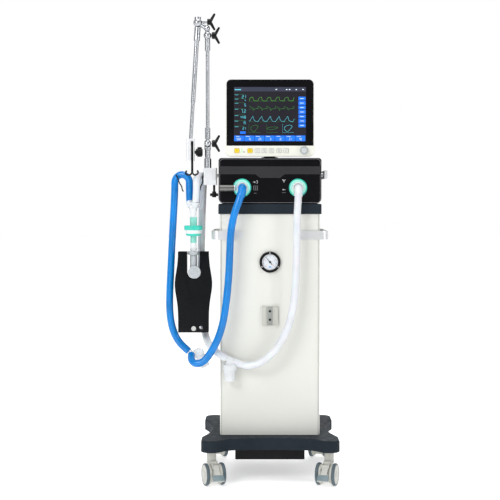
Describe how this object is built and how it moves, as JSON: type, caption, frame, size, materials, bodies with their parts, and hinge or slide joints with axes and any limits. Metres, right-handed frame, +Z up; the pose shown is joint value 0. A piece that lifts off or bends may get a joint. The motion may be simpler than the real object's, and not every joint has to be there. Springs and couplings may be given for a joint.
{
  "type": "mechanical ventilator",
  "caption": "Mobile intensive-care ventilator on a caster trolley with compressor cabinet, monitor, jointed circuit arm, breathing hoses and test lung.",
  "frame": {"origin": "on the floor, at the middle of the footprint of everything except the breathing circuit", "axes": "+Z up, the front (screen, ports, gauge) faces -Y, +X to the right seen from the front"},
  "size_m": [0.5901, 0.6402, 1.589],
  "materials": {
    "base_paint": "satin textured paint on a casting",
    "shelf_plastic": "satin moulded",
    "black_plastic": "satin moulded",
    "cabinet_paint": "satin powder coat",
    "inner_metal": "satin",
    "brushed_metal": "brushed",
    "gauge_black": "satin",
    "needle_black": "satin",
    "bracket_metal": "bead blasted",
    "module_black": "satin",
    "module_gloss": "gloss",
    "port_teal": "moulded",
    "cuff_plastic": "smooth soft cuff",
    "ivory_plastic": "fine grain",
    "bezel_gloss": "gloss",
    "screen_glass": "anti-glare glass",
    "knob_ivory": "satin",
    "key_yellow": "satin",
    "key_white": "satin",
    "cast_aluminium": "polished casting",
    "chrome_rod": "chrome plated",
    "hanger_black": "coated wire",
    "hose_blue": "smooth translucent",
    "hose_white": "smooth translucent",
    "clear_plastic": "clear moulded",
    "filter_teal": "moulded",
    "lung_black": "matte silicone",
    "caster_grey": "moulded",
    "tyre_grey": "smooth polyurethane",
    "pedal_grey": "moulded"
  },
  "bodies": {
    "root": {"base_casting": "base_paint", "under_tray": "black_plastic", "cabinet_shell": "cabinet_paint", "cabinet_back_panel": "cabinet_paint", "compressor": "inner_metal", "top_shelf": "shelf_plastic", "side_handles": "brushed_metal", "gauge_housing": "gauge_black", "accessory_bracket": "bracket_metal", "module_shell": "module_black", "module_front": "module_gloss", "port_filters": "port_teal", "port_elbows": "cuff_plastic", "side_rails": "brushed_metal", "blower": "black_plastic", "rail_clamp": "cast_aluminium", "arm_post": "chrome_rod", "hose_hanger": "hanger_black", "hose_blue_supply": "hose_blue", "hose_blue_return": "hose_blue", "hose_white_supply": "hose_white", "hose_white_return": "hose_white", "water_trap_caps": "clear_plastic", "clear_connectors": "clear_plastic", "hme_filter": "filter_teal"},
    "caster_front_left": {"caster_fork_front_left": "caster_grey"},
    "wheels_front_left": {"caster_wheels_front_left": "tyre_grey"},
    "pedal_front_left": {"brake_pedal_front_left": "pedal_grey"},
    "caster_front_right": {"caster_fork_front_right": "caster_grey"},
    "wheels_front_right": {"caster_wheels_front_right": "tyre_grey"},
    "pedal_front_right": {"brake_pedal_front_right": "pedal_grey"},
    "caster_rear_left": {"caster_fork_rear_left": "caster_grey"},
    "wheels_rear_left": {"caster_wheels_rear_left": "tyre_grey"},
    "caster_rear_right": {"caster_fork_rear_right": "caster_grey"},
    "wheels_rear_right": {"caster_wheels_rear_right": "tyre_grey"},
    "gauge_needle": {"gauge_needle": "needle_black"},
    "monitor_neck": {"monitor_neck": "black_plastic"},
    "monitor": {"monitor_rear_shell": "ivory_plastic", "monitor_bezel": "bezel_gloss", "monitor_band": "ivory_plastic", "screen_panel": "screen_glass"},
    "rotary_knob": {"rotary_knob": "knob_ivory"},
    "key_alarm": {"key_alarm": "key_yellow"},
    "key_breath": {"key_breath": "key_yellow"},
    "key_suction": {"key_suction": "key_white"},
    "key_nebuliser": {"key_nebuliser": "key_white"},
    "key_freeze": {"key_freeze": "key_white"},
    "key_standby": {"key_standby": "key_white"},
    "key_menu": {"key_menu": "key_white"},
    "clamp_screw": {"clamp_screw": "black_plastic"},
    "arm_frame": {"arm_lower_rod": "chrome_rod", "arm_upper_rod": "chrome_rod", "arm_end_block": "cast_aluminium"},
    "lobed_knob": {"lobed_knob": "black_plastic"},
    "lower_t_knob": {"lower_t_knob": "black_plastic"},
    "elbow_t_knob": {"elbow_t_knob": "black_plastic"},
    "head_t_knob": {"head_t_knob": "black_plastic"},
    "trap_cup_blue": {"trap_cup_blue": "clear_plastic"},
    "trap_cup_white": {"trap_cup_white": "clear_plastic"},
    "test_lung": {"test_lung": "lung_black"}
  },
  "joints": [
    {"name": "caster_swivel_front_left", "type": "hinge", "parent": "root", "child": "caster_front_left", "pos_m": [-0.1636, -0.22487, 0.1], "axis": [0, 0, 1], "continuous": true},
    {"name": "wheel_roll_front_left", "type": "hinge", "parent": "caster_front_left", "child": "wheels_front_left", "pos_m": [-0.15495, -0.2515, 0.0375], "axis": [0.9511, 0.309, 0], "continuous": true},
    {"name": "brake_pedal_press_front_left", "type": "hinge", "parent": "caster_front_left", "child": "pedal_front_left", "pos_m": [-0.14908, -0.26956, 0.066], "axis": [0.9511, 0.309, 0], "range_deg": [0, 12]},
    {"name": "caster_swivel_front_right", "type": "hinge", "parent": "root", "child": "caster_front_right", "pos_m": [0.2324, -0.22487, 0.1], "axis": [0, 0, 1], "continuous": true},
    {"name": "wheel_roll_front_right", "type": "hinge", "parent": "caster_front_right", "child": "wheels_front_right", "pos_m": [0.22375, -0.2515, 0.0375], "axis": [0.9511, -0.309, 0], "continuous": true},
    {"name": "brake_pedal_press_front_right", "type": "hinge", "parent": "caster_front_right", "child": "pedal_front_right", "pos_m": [0.21788, -0.26956, 0.066], "axis": [0.9511, -0.309, 0], "range_deg": [0, 12]},
    {"name": "caster_swivel_rear_left", "type": "hinge", "parent": "root", "child": "caster_rear_left", "pos_m": [-0.1636, 0.28514, 0.1], "axis": [0, 0, 1], "continuous": true},
    {"name": "wheel_roll_rear_left", "type": "hinge", "parent": "caster_rear_left", "child": "wheels_rear_left", "pos_m": [-0.15495, 0.2585, 0.0375], "axis": [0.9511, 0.309, 0], "continuous": true},
    {"name": "caster_swivel_rear_right", "type": "hinge", "parent": "root", "child": "caster_rear_right", "pos_m": [0.2324, 0.28514, 0.1], "axis": [0, 0, 1], "continuous": true},
    {"name": "wheel_roll_rear_right", "type": "hinge", "parent": "caster_rear_right", "child": "wheels_rear_right", "pos_m": [0.22375, 0.2585, 0.0375], "axis": [0.9511, -0.309, 0], "continuous": true},
    {"name": "gauge_reading", "type": "hinge", "parent": "root", "child": "gauge_needle", "pos_m": [0.0344, -0.13287, 0.741], "axis": [0, 1, 0], "range_deg": [-94, 176], "stiffness_Nm_per_rad": 0.0004},
    {"name": "monitor_turn", "type": "hinge", "parent": "root", "child": "monitor_neck", "pos_m": [0.0344, -0.04487, 1.1], "axis": [0, 0, 1], "range_deg": [-30, 30]},
    {"name": "monitor_tilt", "type": "hinge", "parent": "monitor_neck", "child": "monitor", "pos_m": [0.0344, -0.04487, 1.18], "axis": [-1, 0, 0], "range_deg": [0, 20]},
    {"name": "rotary_knob_turn", "type": "hinge", "parent": "monitor", "child": "rotary_knob", "pos_m": [0.1504, -0.11986, 1.122], "axis": [0, -1, 0], "continuous": true},
    {"name": "key_alarm_press", "type": "slide", "parent": "monitor", "child": "key_alarm", "axis": [0, 1, 0], "range_m": [0, 0.001], "stiffness_N_per_m": 300},
    {"name": "key_breath_press", "type": "slide", "parent": "monitor", "child": "key_breath", "axis": [0, 1, 0], "range_m": [0, 0.001], "stiffness_N_per_m": 300},
    {"name": "key_suction_press", "type": "slide", "parent": "monitor", "child": "key_suction", "axis": [0, 1, 0], "range_m": [0, 0.001], "stiffness_N_per_m": 300},
    {"name": "key_nebuliser_press", "type": "slide", "parent": "monitor", "child": "key_nebuliser", "axis": [0, 1, 0], "range_m": [0, 0.001], "stiffness_N_per_m": 300},
    {"name": "key_freeze_press", "type": "slide", "parent": "monitor", "child": "key_freeze", "axis": [0, 1, 0], "range_m": [0, 0.001], "stiffness_N_per_m": 300},
    {"name": "key_standby_press", "type": "slide", "parent": "monitor", "child": "key_standby", "axis": [0, 1, 0], "range_m": [0, 0.001], "stiffness_N_per_m": 300},
    {"name": "key_menu_press", "type": "slide", "parent": "monitor", "child": "key_menu", "axis": [0, 1, 0], "range_m": [0, 0.001], "stiffness_N_per_m": 300},
    {"name": "clamp_screw_turn", "type": "hinge", "parent": "root", "child": "clamp_screw", "pos_m": [-0.1566, -0.10286, 0.98], "axis": [0, 0, -1], "range_deg": [0, 180]},
    {"name": "arm_swing", "type": "hinge", "parent": "root", "child": "arm_frame", "pos_m": [-0.1786, -0.10286, 1.146], "axis": [1, 0, 0], "range_deg": [-45, 45]},
    {"name": "lobed_knob_turn", "type": "hinge", "parent": "arm_frame", "child": "lobed_knob", "pos_m": [-0.2106, -0.10286, 1.116], "axis": [1, 0, 0], "range_deg": [0, 180]},
    {"name": "lower_t_knob_turn", "type": "hinge", "parent": "root", "child": "lower_t_knob", "pos_m": [-0.1561, -0.10286, 1.146], "axis": [1, 0, 0], "range_deg": [0, 180]},
    {"name": "elbow_t_knob_turn", "type": "hinge", "parent": "arm_frame", "child": "elbow_t_knob", "pos_m": [-0.1561, -0.10286, 1.514], "axis": [1, 0, 0], "range_deg": [0, 180]},
    {"name": "head_t_knob_turn", "type": "hinge", "parent": "arm_frame", "child": "head_t_knob", "pos_m": [-0.1716, -0.10286, 1.56], "axis": [1, 0, 0], "range_deg": [0, 180]},
    {"name": "trap_cup_blue_twist", "type": "hinge", "parent": "root", "child": "trap_cup_blue", "pos_m": [-0.2116, -0.11286, 0.428], "axis": [0.477, 0, -0.8789], "range_deg": [0, 30]},
    {"name": "trap_cup_white_twist", "type": "hinge", "parent": "root", "child": "trap_cup_white", "pos_m": [-0.1023, -0.15687, 0.37], "axis": [0, 0, -1], "range_deg": [0, 30]},
    {"name": "test_lung_turn", "type": "hinge", "parent": "root", "child": "test_lung", "pos_m": [-0.2276, -0.10286, 0.778], "axis": [0, 0, 1], "range_deg": [-12, 6]}
  ]
}
